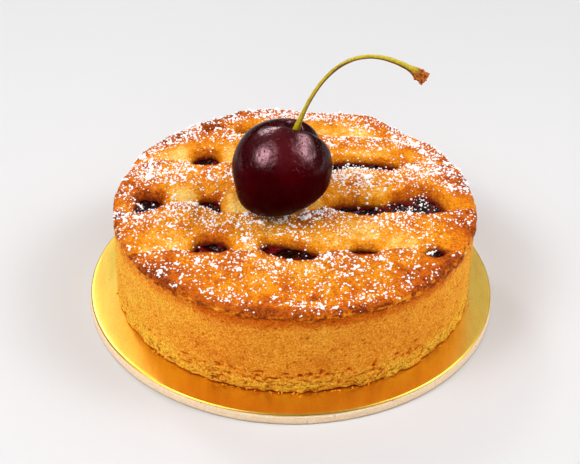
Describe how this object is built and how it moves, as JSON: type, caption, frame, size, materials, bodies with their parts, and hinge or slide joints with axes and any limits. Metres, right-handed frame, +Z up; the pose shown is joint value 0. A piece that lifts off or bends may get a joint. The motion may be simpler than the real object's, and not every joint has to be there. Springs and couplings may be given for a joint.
{
  "type": "cherry pie",
  "caption": "Small round cherry pie with a shortcrust case, cherry filling, laid lattice top and a whole stemmed cherry, on a round gold cake card.",
  "frame": {"origin": "middle of the cake card's underside", "axes": "+Z up; -Y the front of the pie; the over lattice strips run along X and the cherry's stem leans towards +X"},
  "size_m": [0.12, 0.12, 0.0817],
  "materials": {
    "gold_card": "gold foil over cardboard, satin, with a pale cut edge",
    "shortcrust": "baked shortcrust, golden, dry and sandy",
    "glazed_lattice": "egg-washed baked pastry, golden orange, satin",
    "under_lattice": "baked pastry, paler yellow, matt",
    "cherry_filling": "dark red cherry filling, wet gloss",
    "cherry_skin": "dark maroon fruit skin, glossy",
    "cherry_stem": "yellow-green stem with a brown woody end"
  },
  "bodies": {
    "root": {"cake_card": "gold_card", "crust_shell": "shortcrust", "cherry_filling": "cherry_filling", "lattice_under_1": "under_lattice", "lattice_under_2": "under_lattice", "lattice_under_3": "under_lattice", "lattice_under_4": "under_lattice", "lattice_over_1": "glazed_lattice", "lattice_over_2": "glazed_lattice", "lattice_over_3": "glazed_lattice", "lattice_over_4": "glazed_lattice", "lattice_over_5": "glazed_lattice", "cherry": "cherry_skin", "cherry_stem": "cherry_stem"}
  },
  "joints": []
}
